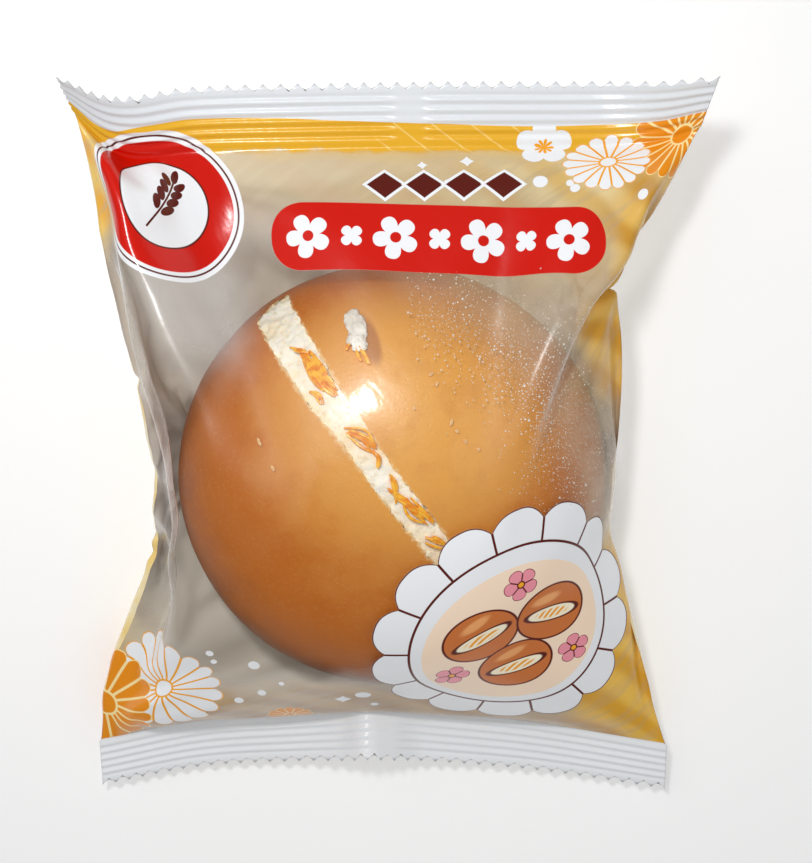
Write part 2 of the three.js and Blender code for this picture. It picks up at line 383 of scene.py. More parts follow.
# Golden threads
# Egg yolk trickled into hot syrup, which sets as soft golden threads, a little flattened where
# they are pressed into the cream. They lie in small tangled clumps along the slit's right lip.
THREAD_RADIUS = 0.33
# a strand of like threads: from along and across the slit, to along and across, bow, threads, spread
STRANDS = [
    (-40.0, -0.9, -36.4, 2.3, 0.4, 3, 0.4), (-37.6, 1.2, -27.2, 1.9, -0.3, 26, 2.5),
    (-30.8, -2.6, -27.2, -1.2, 0.4, 3, 0.4), (-20.4, -0.6, -12.6, 2.2, 0.6, 8, 1.2),
    (-14.0, 1.4, -9.4, -0.4, 0.9, 4, 0.5), (-7.2, 1.5, -1.6, -1.2, 0.6, 4, 0.5),
    (-5.2, -1.1, 5.4, 1.8, 0.8, 7, 0.9), (-2.8, 1.2, 6.4, 2.1, -0.4, 10, 1.5),
    (8.0, -1.0, 15.0, 1.6, 0.6, 7, 0.9), (20.0, 0.8, 29.0, -0.6, -0.7, 8, 0.9),
]


def in_scene(name, data):
    """A new object in the scene."""
    obj = bpy.data.objects.new(name, data)
    bpy.context.collection.objects.link(obj)
    return obj


def thread_piece(name, paths, radius):
    """Soft flattened threads along the given paths, as one mesh."""
    curve = bpy.data.curves.new(name, "CURVE")
    curve.dimensions = "3D"
    curve.twist_mode = "Z_UP"
    curve.extrude = radius * 0.25 * MM
    curve.bevel_depth = radius * 0.8 * MM
    curve.bevel_resolution = 2
    curve.use_fill_caps = True
    curve.resolution_u = 4
    for k, path in enumerate(paths):
        spline = curve.splines.new("NURBS")
        spline.points.add(len(path) - 1)
        for step, (knot, place) in enumerate(zip(spline.points, path)):
            knot.co = (*place, 1.0)
            knot.radius = 0.6 + 0.4 * math.sin(math.pi * step / (len(path) - 1))
            knot.tilt = math.pi / 2 + 0.5 * math.sin(2.4 * k)
        spline.order_u = 4
        spline.use_endpoint_u = True
    select_only(in_scene(name, curve))
    bpy.ops.object.convert(target="MESH")
    smooth(bpy.context.object)
    return bpy.context.object


def strand_paths(rng, start_along, start_across, end_along, end_across, bow, count, spread):
    """Threads side by side from one end of a strand to the other, lying on the cream."""
    start = np.array([start_along, start_across])
    run = np.array([end_along, end_across]) - start
    beside = np.array([-run[1], run[0]]) / np.linalg.norm(run)
    paths = []
    for _ in range(count):
        first, last = rng.uniform(-0.05, 0.3), rng.uniform(0.7, 1.05)
        left, right = rng.uniform(-1.0, 1.0, 2) * spread
        depth, curl = rng.uniform(-0.45, 0.2), bow + rng.normal(0.0, 0.3)
        wave, phase = rng.uniform(0.1, 0.35), rng.uniform(0.0, math.tau)
        path = []
        for share in np.linspace(first, last, 8):
            swell = math.sin(math.pi * share)
            aside = curl * swell + (left + (right - left) * share) * (0.45 + 0.55 * swell)
            aside += wave * math.sin(6.0 * share + phase)
            along, across = start + run * share + beside * aside
            place = spot(along, across, 0.0)
            top = dome_height(place.x / MM, place.y / MM) + BUN_LIFT
            lie = top - 0.15 + 0.25 * swell + depth + 0.12 * math.sin(9.0 * share + phase)
            path.append((place.x, place.y, lie * MM))
        paths.append(path)
    return paths


rng = np.random.default_rng(11)
paths = [path for strand in STRANDS for path in strand_paths(rng, *strand)]
threads = thread_piece("golden_threads", paths, THREAD_RADIUS)
yolk, f = finish("golden_thread")
place = f.scaled(f.node("TexCoord", give="Object"), PER_METRE)
tone = f.over(f.rise(f.noise(place, 1.5), 0.36, 0.62), ink(240, 142, 14), ink(255, 192, 54))
f.coat({
    "Base Color": f.over(f.rise(f.noise(place, 0.5), 0.55, 0.8, 0.0, 0.35), tone, ink(255, 216, 110)),
    "Roughness": 0.3,
    "Coat Weight": 0.4,
    "Coat Roughness": 0.15,
    "Normal": f.bump(f.noise(place, 0.35), 0.5, 0.0001),
})
threads.data.materials.append(yolk)
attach(threads, "root")

# Stray cream
# A smear of cream with a thread in it has been pushed out of the slit and lies on the crust,
# flattened by the film. A few pale crumbs stick to the crust beside it.
def on_crust(across_x, up_y, sink=0.0):
    """A place on the crust, from the bun's centre, and the way the crust faces there."""
    x, y = BUN_CENTRE.x + across_x, BUN_CENTRE.y + up_y
    z = dome_height(x, y)
    steep = (z - BUN_RIM_HEIGHT) / BUN_DOME_HEIGHT**2
    way = Vector((across_x / BUN_RADIUS**2, up_y / BUN_RADIUS**2, steep)).normalized()
    return Vector((x, y, z + BUN_LIFT)) * MM - way * sink * MM, way


def dab(name, across_x, up_y, size, turn):
    """A flattened blob pressed on the crust."""
    obj = add(bpy.ops.mesh.primitive_ico_sphere_add, name, subdivisions=4, radius=1.0)
    place, way = on_crust(across_x, up_y)
    obj.scale = (size[0] * MM, size[1] * MM, size[2] * MM)
    obj.rotation_mode = "QUATERNION"
    spin = Matrix.Rotation(turn, 4, "Z").to_quaternion()
    obj.rotation_quaternion = Vector((0, 0, 1)).rotation_difference(way) @ spin
    obj.location = place
    settle(obj)
    return obj


smear = dab("stray_cream", -7.6, 37.6, (2.3, 5.2, 0.95), math.radians(14))
roughen(smear, "smear_edge", 2.0, 2.4)
roughen(smear, "smear_crumbs", 0.7, 0.8)
whipped, f, place, grain = baked("whipped_cream", 1.2)
white = f.over(f.rise(grain["Blotches"], 0.38, 0.62), ink(252, 248, 238), ink(226, 218, 204))
f.coat({
    "Base Color": f.over(grain["Pores"], white, ink(232, 226, 214)),
    "Roughness": f.rise(grain["Blotches"], 0.3, 0.7, 0.3, 0.6),
    "Normal": f.bump(grain["Height"], 0.8, 0.0004),
})
smear.data.materials.append(whipped)

# thin flakes where the crust has rubbed: from the bun's centre, length, turn
FLAKES = [
    (9.4, 27.0, 0.9, 0.9), (8.2, 29.0, 0.8, 0.6), (12.4, 19.2, 1.2, 1.2), (13.6, 17.4, 0.7, -0.4),
    (15.4, 15.2, 0.9, -0.8), (18.2, 13.4, 0.7, -0.9), (-28.4, 14.2, 1.4, -1.05), (-25.4, 9.0, 1.0, -1.0),
]
flakes = [
    dab(f"flake_{k}", x, y, (0.7 * size, 0.34, 0.16), turn) for k, (x, y, size, turn) in enumerate(FLAKES)
]
select_only(flakes[0])
for flake in flakes:
    flake.select_set(True)
bpy.ops.object.join()
crumbs = flakes[0]
crumbs.name = "crust_flakes"
roughen(crumbs, "flake_edges", 0.6, 0.25)
rubbed, f, place, grain = baked("rubbed_crust", 0.7)
f.coat({
    "Base Color": f.over(grain["Pores"], ink(234, 190, 132), ink(214, 158, 100)),
    "Roughness": 0.7,
})
crumbs.data.materials.append(rubbed)
for piece, slot in ((smear, "cream"), (crumbs, "crust")):
    smooth(piece)
    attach(piece, "root")

# threads that hang out of the smear: start from the bun's centre, heading, steps
STRAY_STEP = 0.7
loose = []
for x, y, heading, steps in (
    (-7.0, 34.4, -0.95, 7), (-6.4, 34.2, -1.1, 6), (-7.6, 34.0, -1.25, 5), (-9.0, 34.8, -2.2, 3),
):
    path = []
    for _ in range(steps):
        path.append(tuple(on_crust(x, y, -0.35)[0]))
        x += math.cos(heading) * STRAY_STEP
        y += math.sin(heading) * STRAY_STEP
        heading += rng.normal(0.0, 0.2)
    loose.append(path)
stray_threads = thread_piece("stray_threads", loose, THREAD_RADIUS * 1.25)
stray_threads.data.materials.append(yolk)
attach(stray_threads, "root")

# Film
# One tube of thin printed film, 142 mm wide laid flat and 165 mm long between its end seals.
# It is drawn over the bun with the two seals held where the photo shows them, so the sides
# nip in and fold, and a little gas keeps the front off the crust.
FILM_WIDTH, FILM_LENGTH = 142.0, 165.0
FILM_COLUMNS, FILM_ROWS = ((80, 92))
SIM_SCALE, SIM_FRAMES, GROW_FRAMES = 0.01, 46, 28
# lines of the seals, inner and outer: share of the width, x, y, z, as in the solid
TOP_INNER = [
    (0.00, -66.7, 78.4, 33.0), (0.08, -61.1, 71.1, 28.0), (0.15, -54.9, 69.0, 25.0),
    (0.24, -43.5, 70.2, 22.0), (0.40, -20.9, 70.7, 20.5), (0.60, 7.5, 71.1, 20.0),
    (0.84, 44.3, 71.5, 21.0), (0.93, 56.6, 72.6, 23.5), (1.00, 64.4, 75.2, 28.0),
]
BOTTOM_INNER = [
    (0.00, -75.0, -74.2, 9.0), (0.18, -49.6, -69.2, 8.0), (0.35, -24.2, -66.6, 9.0),
    (0.42, -14.0, -64.6, 11.0), (0.47, -7.7, -62.2, 14.0), (0.52, -1.0, -63.6, 12.0),
    (0.58, 7.0, -65.8, 9.5), (0.78, 36.5, -70.0, 8.0), (1.00, 68.6, -75.4, 9.0),
]
TOP_OUTER = [
    (0.00, -67.0, 84.4, 44.5), (0.08, -61.6, 82.2, 36.5), (0.15, -55.4, 81.6, 31.0),
    (0.24, -44.5, 83.8, 26.0), (0.40, -21.0, 84.6, 23.0), (0.60, 7.4, 84.8, 22.0),
    (0.84, 43.8, 84.9, 25.0), (0.93, 56.3, 84.6, 30.5), (1.00, 65.6, 84.6, 37.0),
]
BOTTOM_OUTER = [
    (0.00, -75.4, -88.2, 6.5), (0.18, -50.2, -83.1, 6.0), (0.35, -24.6, -80.1, 8.0),
    (0.42, -14.2, -77.6, 12.0), (0.47, -7.7, -75.4, 17.0), (0.52, -1.1, -76.8, 14.0),
    (0.58, 7.0, -79.4, 9.5), (0.78, 36.8, -84.0, 6.5), (1.00, 69.2, -88.4, 6.5),
]
# where the right side is nipped against the bun: share of the length, x, y, z
NIPS = [(0.385, 48.6, -14.4, 22.0), (0.70, 48.6, 41.0, 26.0)]
CLOTH = {
    "quality": 8, "mass": 0.0017, "tension_stiffness": 200, "compression_stiffness": 100,
    "shear_stiffness": 60, "bending_stiffness": 0.5, "tension_damping": 5, "compression_damping": 5,
    "shear_damping": 5, "air_damping": 3, "vertex_group_mass": "held", "use_pressure": True,
    "uniform_pressure_force": 1.8,
}


def on_line(table, share):
    """A point of a seal line at a share of its width, on a smooth curve through the table."""
    rows = np.array(table)
    t, p = rows[:, 0], rows[:, 1:]
    k = int(np.clip(np.searchsorted(t, share) - 1, 0, len(t) - 2))
    before, after = max(k - 1, 0), min(k + 2, len(t) - 1)
    span = t[k + 1] - t[k]
    m0 = (p[k + 1] - p[before]) / (t[k + 1] - t[before]) * span
    m1 = (p[after] - p[k]) / (t[after] - t[k]) * span
    q = (share - t[k]) / span
    start = (2 * q**3 - 3 * q**2 + 1) * p[k] + (q**3 - 2 * q**2 + q) * m0
    return start + (3 * q**2 - 2 * q**3) * p[k + 1] + (q**3 - q**2) * m1


def film_index(columns, rows):
    """Numbers the corners of the tube: the front whole, then the back between its edges."""
    number, count = {}, 0
    for side in (1, -1):
        for j in range(rows + 1):
            for i in range(columns + 1):
                if side < 0 and (i in (0, columns) or j in (0, rows)):
                    number[side, i, j] = number[1, i, j]
                    continue
                number[side, i, j] = count
                count += 1
    return number, count


def slide_on(obj):
    """Lets the film slide over an object."""
    obj.modifiers.new("collision", "COLLISION")
    obj.collision.thickness_outer = 0.003
    obj.collision.cloth_friction = 2


def draw_film():
    """The film's front and back as grids of points in millimetres, drawn over the bun."""
    columns, rows = FILM_COLUMNS, FILM_ROWS
    number, count = film_index(columns, rows)
    flat = [None] * count
    jitter = np.random.default_rng(3)
    for (side, i, j), k in number.items():
        if flat[k] is None:
            x = (i / columns - 0.5) * FILM_WIDTH - 1.0
            y = (j / rows - 0.5) * FILM_LENGTH + 2.0
            z = 22.0 + 0.4 * side + jitter.uniform(-0.05, 0.05)
            flat[k] = (x * SIM_SCALE, y * SIM_SCALE, z * SIM_SCALE)
    faces = []
    for side in (1, -1):
        for j in range(rows):
            for i in range(columns):
                face = [number[side, i + a, j + b] for a, b in ((0, 0), (1, 0), (1, 1), (0, 1))]
                faces.append(face if side > 0 else face[::-1])
    mesh = bpy.data.meshes.new("film_blank")
    mesh.from_pydata(flat, [], faces)
    blank = in_scene("film_blank", mesh)
    held = blank.vertex_groups.new(name="held")
    blank.shape_key_add(name="flat")
    key = blank.shape_key_add(name="held")
    grips = [(i, j, on_line(table, i / columns)) for i in range(columns + 1)
             for j, table in ((0, BOTTOM_INNER), (rows, TOP_INNER))]
    grips += [(columns, round(share * rows), place) for share, *place in NIPS]
    for i, j, place in grips:
        k = number[1, i, j]
        held.add([k], 1.0, "REPLACE")
        key.data[k].co = Vector(place) * SIM_SCALE
    for value, at in ((0.0, 1), (1.0, GROW_FRAMES)):
        key.value = value
        key.keyframe_insert("value", frame=at)

    # The bun grows from a thin disc between the two layers while the seals are drawn in.
    former = bun_form("former", shrink=-0.2, segments=96, rings=48)
    former.data.transform(Matrix.Translation(-PACK_SHIFT * MM))
    former.data.transform(Matrix.Scale(SIM_SCALE / MM, 4))
    slide_on(former)
    for at, size, tall, height in ((1, 0.9, 0.02, 22.0), (GROW_FRAMES, 1.0, 1.0, 0.0)):
        former.scale = (size, size, tall)
        former.location.z = height * SIM_SCALE
        former.keyframe_insert("scale", frame=at)
        former.keyframe_insert("location", frame=at)
    for moved in (former, blank.data.shape_keys):
        for curve in moved.animation_data.action.fcurves:
            for point in curve.keyframe_points:
                point.interpolation = "LINEAR"
    table_top = add(bpy.ops.mesh.primitive_plane_add, "table_top", size=6)
    slide_on(table_top)

    cloth = blank.modifiers.new("cloth", "CLOTH")
    for name, value in CLOTH.items():
        setattr(cloth.settings, name, value)
    cloth.settings.effector_weights.gravity = 0
    cloth.collision_settings.collision_quality = 3
    cloth.collision_settings.distance_min = 0.003
    cloth.collision_settings.use_self_collision = False
    cloth.point_cache.frame_end = SIM_FRAMES
    for at in range(1, SIM_FRAMES + 1):
        bpy.context.scene.frame_set(at)
    drawn = blank.evaluated_get(bpy.context.evaluated_depsgraph_get()).data
    points = np.array([v.co for v in drawn.vertices]) / SIM_SCALE
    for obj in (blank, former, table_top):
        bpy.data.objects.remove(obj)
    bpy.context.scene.frame_set(1)
    return [
        np.array([[points[number[side, i, j]] for i in range(columns + 1)] for j in range(rows + 1)])
        for side in (1, -1)
    ]


film_front, film_back = draw_film()


# share of the film's length over which it runs into a seal
SEAL_EASE = 0.066
# how far out the pack reaches between its seals: height up the pack, x
LEFT_REACH = [
    (-74.2, -75.0), (-65.0, -74.6), (-52.0, -71.0), (-36.0, -64.2), (-23.0, -59.4), (-8.0, -56.8),
    (9.0, -58.0), (27.0, -60.2), (47.0, -63.2), (66.0, -64.8), (78.4, -66.7),
]
RIGHT_REACH = [
    (-75.4, 68.6), (-66.0, 65.0), (-49.0, 60.4), (-34.0, 56.2), (-22.5, 53.0), (-14.4, 49.2), (-6.0, 50.2),
    (10.0, 51.0), (31.0, 50.4), (41.0, 48.6), (49.5, 51.6), (58.5, 56.6), (68.0, 61.2), (75.2, 64.4),
]
FILM_GAP = 0.6


def clear_of_bun(points, ease=0.0):
    """Lifts points that lie too close to the bun, smoothly over an ease in millimetres."""
    shift = BUN_CENTRE - PACK_SHIFT
    away = points - np.array([shift.x, shift.y, BUN_RIM_HEIGHT + BUN_LIFT])
    tall = np.where(away[..., 2] > 0, BUN_DOME_HEIGHT, BUN_UNDER_HEIGHT)
    half = np.stack([np.full_like(tall, BUN_RADIUS), np.full_like(tall, BUN_RADIUS), tall], -1)
    level = np.linalg.norm(away / half, axis=-1)
    slope = away / half**2 / np.maximum(level, 1e-6)[..., None]
    steep = np.linalg.norm(slope, axis=-1)
    short = FILM_GAP - (level - 1) / np.maximum(steep, 1e-9)
    if ease:
        short = np.where(short > 4.0, short, ease * np.logaddexp(0.0, np.clip(short, -20, 20) / ease))
    lift = np.where(points[..., 2] < 1.2, 0.0, np.clip(short, 0.0, 4.0))
    return points + slope / np.maximum(steep, 1e-9)[..., None] * lift[..., None]


def fit_sides(front, back):
    """Draws the sides in or out to where the photo shows the outline of the pack."""
    every = np.concatenate([front, back]).reshape(-1, 3)
    levels = np.arange(-72.0, 75.0, 1.5)
    moved = [front.copy(), back.copy()]
    for table, sign, inner in ((LEFT_REACH, -1, 38.0), (RIGHT_REACH, 1, 40.0)):
        rows = np.array(table)
        want = np.interp(levels, rows[:, 0], rows[:, 1])
        have = np.array([(every[np.abs(every[:, 1] - y) < 1.6, 0] * sign).max() * sign for y in levels])
        padded = np.pad(want - have, 3, mode="edge")
        change = np.convolve(padded, np.array([1, 2, 3, 4, 3, 2, 1]) / 16, mode="valid")
        change *= np.clip((levels + 72) / 8, 0, 1) * np.clip((74 - levels) / 8, 0, 1)
        for layer in moved:
            reach = np.interp(layer[..., 1], levels, np.abs(have))
            share = np.clip((layer[..., 0] * sign - inner) / (reach - inner), 0, 1)
            share = share * share * (3 - 2 * share)
            layer[..., 0] += np.interp(layer[..., 1], levels, change) * share
    moved = [clear_of_bun(layer) for layer in moved]
    moved[0][[0, -1]], moved[1][[0, -1]] = front[[0, -1]], back[[0, -1]]
    return moved


def ease_seals(front, back):
    """Lets both layers run smoothly into the end seals, opening like the mouth of a bag."""
    rows = front.shape[0] - 1
    reach = round(rows * SEAL_EASE)
    for edge, way in ((0, 1), (rows, -1)):
        last = edge + way * reach
        middle, half = (front[last] + back[last]) / 2, (front[last] - back[last]) / 2
        seal = front[edge].copy()
        for k in range(1, reach):
            share = k / reach
            eased = seal * (1 - share) + middle * share
            open_up = half * share**0.75
            front[edge + way * k], back[edge + way * k] = eased + open_up, eased - open_up
        for layer in (front, back):
            for _ in range(3):
                for j in [edge + way * k for k in range(2, reach + 3)]:
                    layer[j] = (layer[j - 1] + layer[j] * 2 + layer[j + 1]) / 4
    return front, back


def around(grid):
    """The sum of the four neighbours of each inner point of a grid."""
    return grid[:-2, 1:-1] + grid[2:, 1:-1] + grid[1:-1, :-2] + grid[1:-1, 2:]


def facing_of(grid):
    """The way each point of a layer of film faces, up out of the front."""
    ways = np.cross(np.gradient(grid, axis=1), np.gradient(grid, axis=0))
    return ways / (np.linalg.norm(ways, axis=2, keepdims=True) + 1e-9)


def part_layers(front, back):
    """Moves the two layers of film apart where they lie against each other."""
    facing = facing_of(front)
    for _ in range(3):
        facing[1:-1, 1:-1] = (facing[1:-1, 1:-1] * 2 + around(facing)) / 6
    facing /= np.linalg.norm(facing, axis=2, keepdims=True) + 1e-9
    gap = ((front - back) * facing).sum(axis=2)
    near = np.linalg.norm(front - back, axis=2) < 4.0
    push = np.where(near, np.clip(0.4 - gap, 0.0, 3.0), 0.0)[..., None] / 2
    push[0], push[-1], push[:, 0], push[:, -1] = 0, 0, 0, 0
    return front + facing * push, back - facing * push


def calm_window(front):
    """Takes the small wrinkles out of the front, which the gas inside holds taut."""
    rows, columns = front.shape[0] - 1, front.shape[1] - 1
    across = np.abs(np.linspace(-1, 1, columns + 1))[None, :]
    up = np.abs(np.linspace(-1, 1, rows + 1))[:, None]
    share = (np.clip((1 - across) / 0.4, 0, 1) * np.clip((1 - up) / 0.3, 0, 1))[1:-1, 1:-1, None]
    front = front.copy()
    for pull in [0.5, -0.52] * CALM_ROUNDS:
        front[1:-1, 1:-1] += (around(front) / 4 - front[1:-1, 1:-1]) * pull * share
    front = clear_of_bun(front, 1.0)
    for _ in range(8):
        front[1:-1, 1:-1] += (around(front) / 4 - front[1:-1, 1:-1]) * 0.5 * share
    return clear_of_bun(front)


def seal_place(inner, outer, outward, share, out):
    """A point of an end seal, out millimetres from its inner line, and the way it faces."""
    step = 0.01
    a = on_line(inner, share)
    away = on_line(outer, share) - a
    away /= np.linalg.norm(away)
    along = on_line(inner, min(1, share + step)) - on_line(inner, max(0, share - step))
    facing = np.cross(along, away) * outward
    facing /= np.linalg.norm(facing)
    return a + away * out, facing


CALM_ROUNDS = 60
SEAL_WIDTH, HALF_SEAL = 14.0, 0.12
CRIMP_START, CRIMP_PITCH, CRIMP_DEPTH, CRIMPS = 1.2, 2.1, 0.33, 5
TOOTH_DEPTH, TOOTH_STEPS = 1.8, 80
# where the fin down the back crosses the seals: place across the flat film at the bottom and top
FIN_PLACES = (1.4, 9.7)
FIN_HALF = 3.2
# the map of the flat film is drawn a hundred times smaller
MAP_SCALE = 100
seal_steps = [0.6] + [CRIMP_START + CRIMP_PITCH * k / 4 for k in range(1, 4 * CRIMPS + 1)]
seal_steps += [12.2, SEAL_WIDTH]
film_front, film_back = part_layers(*ease_seals(*fit_sides(film_front, film_back)))
film_front = calm_window(film_front)
film_back[..., 2] = np.maximum(film_back[..., 2], 0.35)


def film_mesh(front, back):
    """Front, back and both end seals as one closed skin, with a map of the flat film on it."""
    rows, columns = front.shape[0] - 1, front.shape[1] - 1
    ends = {0: (BOTTOM_INNER, BOTTOM_OUTER, -1), rows: (TOP_INNER, TOP_OUTER, 1)}
    work = bmesh.new()
    flat = work.loops.layers.uv.new("flat")
    crease = work.edges.layers.float.new("crease_edge")
    point = work.verts.layers.float.new("crease_vert")

    def corner(p):
        return work.verts.new(tuple((Vector(p) + PACK_SHIFT) * MM))

    def flat_y(j, out=0.0):
        return (j / rows - 0.5) * FILM_LENGTH + out

    def add_face(ring, places, flip):
        """A face, and where its corners lie on the flat film."""
        face = work.faces.new(ring[::-1] if flip else ring)
        for loop, (x, y) in zip(face.loops, places[::-1] if flip else places):
            loop[flat].uv = (x / MAP_SCALE, y / MAP_SCALE)

    # each line: height on the flat film, front corners, back corners
    seals = []
    for edge, (inner, outer, outward) in ends.items():
        strip = []
        for out in seal_steps:
            wave = 0.0
            if CRIMP_START < out < CRIMP_START + CRIMPS * CRIMP_PITCH:
                wave = CRIMP_DEPTH * math.sin(2 * math.pi * (out - CRIMP_START) / CRIMP_PITCH)
            pair = ([], [])
            for i in range(columns + 1):
                aside = abs((i / columns - 0.5) * FILM_WIDTH - FIN_PLACES[outward > 0])
                pressed = wave * (0.15 if aside < FIN_HALF else 1.0)
                reach = out
                if out == SEAL_WIDTH:
                    reach -= TOOTH_DEPTH * (1 - abs((i * TOOTH_STEPS / columns) % 2 - 1))
                place, facing = seal_place(inner, outer, outward, i / columns, reach)
                for layer, half in zip(pair, (HALF_SEAL, -HALF_SEAL)):
                    layer.append(corner(place + facing * (pressed + half)))
            strip.append((flat_y(edge, outward * out), *pair))
        seals.append(strip)
    tube = []
    for j in range(rows + 1):
        shift = np.zeros_like(front[j])
        if j in ends:
            shift = np.array([seal_place(*ends[j], i / columns, 0.0)[1] for i in range(columns + 1)])
        ahead = [corner(p) for p in front[j] + shift * HALF_SEAL]
        behind = [corner(p) for p in (back[j] - shift * HALF_SEAL)[1:-1]]
        tube.append((flat_y(j), ahead, [ahead[0], *behind, ahead[-1]]))
    order = seals[0][::-1] + tube + seals[1]

    def width(i, layer=0):
        x = (i / columns - 0.5) * FILM_WIDTH
        return FILM_WIDTH - x if layer else x

    for low, high in zip(order, order[1:]):
        for layer in (0, 1):
            under, over = low[layer + 1], high[layer + 1]
            for i in range(columns):
                x, next_x = width(i, layer), width(i + 1, layer)
                places = [(x, low[0]), (next_x, low[0]), (next_x, high[0]), (x, high[0])]
                add_face([under[i], under[i + 1], over[i + 1], over[i]], places, layer)
    for low, high in zip(order, order[1:]):
        for i in (0, columns):
            ring = [low[1][i], high[1][i], high[2][i], low[2][i]]
            ring = [v for k, v in enumerate(ring) if v not in ring[:k]]
            if len(ring) > 2:
                add_face(ring, [(width(i), low[0])] * 4, i)
    for y, ahead, behind in (order[0], order[-1]):
        for i in range(columns):
            ring = [ahead[i], ahead[i + 1], behind[i + 1], behind[i]]
            places = [(width(k), y) for k in (i, i + 1, i + 1, i)]
            face = work.faces.new(ring if y > 0 else ring[::-1])
            for loop, (x, _) in zip(face.loops, places):
                loop[flat].uv = (x / MAP_SCALE, y / MAP_SCALE)
            for pair in ((ahead[i], ahead[i + 1]), (behind[i], behind[i + 1])):
                work.edges.get(pair)[crease] = 1.0
                for vert in pair:
                    vert[point] = 1.0
    work.normal_update()
    mesh = bpy.data.meshes.new("film")
    work.to_mesh(mesh)
    work.free()
    return in_scene("film", mesh)


film = film_mesh(film_front, film_back)
select_only(film)
bpy.ops.object.mode_set(mode="EDIT")
bpy.ops.mesh.select_all(action="SELECT")
bpy.ops.mesh.normals_make_consistent(inside=False)
bpy.ops.object.mode_set(mode="OBJECT")
apply(film, "SUBSURF", levels=1, render_levels=1, uv_smooth="NONE")
smooth(film)

# The print is worked out in millimetres on the flat film: across from -71 to 71 on the front
# and on to 213 round the back, and up from -96.5 to 96.5, end seals included.
f, given, results = new_group(
    "petal_flower",
    {"Vector": ["Place"], "Float": ["Radius", "Petals", "Roundness", "Eye", "Line"]},
    {"Float": ["Body", "Lines", "Centre"]},
)
far, apart = f.vector("LENGTH", given["Place"]), f.apart(given["Place"])
turns = f.math("ARCTAN2", apart[1], apart[0]) / math.tau * given["Petals"]
# 0 in the middle of a petal, 1 between two petals
off = f.math("PINGPONG", turns, 0.5) * 2.0
inside = given["Radius"] * (1.0 - off**2.6 * given["Roundness"]) - far
gap = (1.0 - off) * far / given["Petals"] * math.pi
eye, half = far - given["Eye"], given["Line"] * 0.5
rib = f.math("MINIMUM", f.math("MINIMUM", gap, abs(inside)), abs(eye))
in_eye = f.fall(eye, 0.0, 0.1)
line = f.rise(half - rib, -0.07, 0.07) * (1.0 - in_eye)
line = f.math("MAXIMUM", line, f.rise(half - abs(eye), -0.07, 0.07))
f.fill(results, {"Body": f.rise(inside, -0.08, 0.08), "Lines": line, "Centre": in_eye})
petal_flower = f.tree


class Print(Finish):
    """Prints colours one over another on the flat film, and keeps how far they cover it."""

    def __init__(self, tree, flat):
        self.tree = tree
        self.flat = Value(self, flat.socket)

    def lay(self, share, colour):
        self.cover = self.math("MAXIMUM", self.cover, share)
        self.colour = self.over(share, self.colour, colour)

    def about(self, x, y, turn=0.0, wide=1.0, high=1.0, within=None):
        """Places as seen from the middle of a motif, turned and stretched."""
        values = {"Vector": within or self.flat, "Location": (x, y, 0), "Rotation": (0, 0, turn)}
        return self.node("Mapping", {**values, "Scale": (wide, high, 1)}, vector_type="TEXTURE")

    def far(self, *where, **within):
        """How far a place is from the middle of a motif."""
        return self.vector("LENGTH", self.about(*where, **within))

    def bar(self, place, half_width, half_height, corner):
        """How far outside a bar with round corners a place lies."""
        straight = (half_width - corner, half_height - corner, 0)
        outside = self.vector("SUBTRACT", self.vector("ABSOLUTE", place), straight)
        return self.vector("LENGTH", self.vector("MAXIMUM", outside, (0, 0, 0))) - corner

    def petals(self, place, radius, count, rounded, eye, line):
        values = {"Place": place, "Radius": radius, "Petals": count, "Roundness": rounded}
        return self.group(petal_flower, {**values, "Eye": eye, "Line": line})

    def flower(self, x, y, radius, petals, fill, outline, turn=0.0, high=1.0, rounded=0.16,
               eye=0.22, line=0.42, middle=None, within=None):
        """Prints one flower of a fill colour with outlined petals."""
        place = self.about(x, y, turn, 1.0, high, within)
        out = self.petals(place, radius, petals, rounded, radius * eye, line)
        self.lay(out["Body"], fill)
        if middle:
            self.lay(out["Centre"], middle)
        self.lay(out["Lines"] * out["Body"], outline)


WHITE, TOP_WHITE = ink(238, 240, 243), ink(224, 228, 232)
GOLD, CREAM, BROWN = ink(232, 176, 42), ink(236, 222, 170), ink(92, 26, 16)
RED, ORANGE, LINE_ORANGE = ink(204, 18, 0), ink(232, 142, 20), ink(242, 166, 32)
INSIDE_GREY, CREAM_LINE = ink(214, 206, 192), ink(250, 226, 160)
# white dots and small diamonds: across, up, half width
DOTS = [
    (36.5, 71.7, 1.6), (42.8, 71.0, 0.9), (43.9, 69.5, 1.1), (60.5, 67.6, 1.3), (-42.4, -40.2, 1.0),
    (-41.5, -43.3, 0.9), (-30.8, -43.6, 1.5), (-4.8, -56.0, 1.9), (-28.7, -53.4, 1.1),
    (-34.3, -57.5, 1.2), (17.0, 72.4, 0.8), (-2.0, -63.0, 1.0), (-24.0, -49.0, 0.7),
]
DIAMONDS = [(46.1, 85.7, 2.0), (19.5, 82.9, 1.4), (21.4, 78.3, 1.6), (-9.5, -58.8, 2.2), (12.0, 77.5, 1.2)]
# silky corners: across, up, reach across, reach up, deep colour, pale colour, cover, softness
CORNERS = [
    (-78.0, 84.0, 25.0, 46.0, ink(240, 176, 44), ink(242, 202, 100), 0.94, 0.35),
    (74.0, 92.0, 84.0, 60.0, ink(224, 184, 96), ink(244, 228, 178), 0.9, 0.55),
    (84.0, 48.0, 40.0, 54.0, ink(200, 144, 36), ink(226, 180, 86), 0.97, 0.32),
    (84.0, -80.0, 52.0, 84.0, ink(222, 164, 44), ink(240, 192, 84), 1.0, 0.3),
    (-80.0, -84.0, 60.0, 60.0, ink(206, 168, 92), ink(226, 200, 138), 0.82, 0.5),
    (-12.0, -84.0, 78.0, 42.0, ink(166, 122, 62), ink(190, 150, 90), 0.86, 0.34),
]

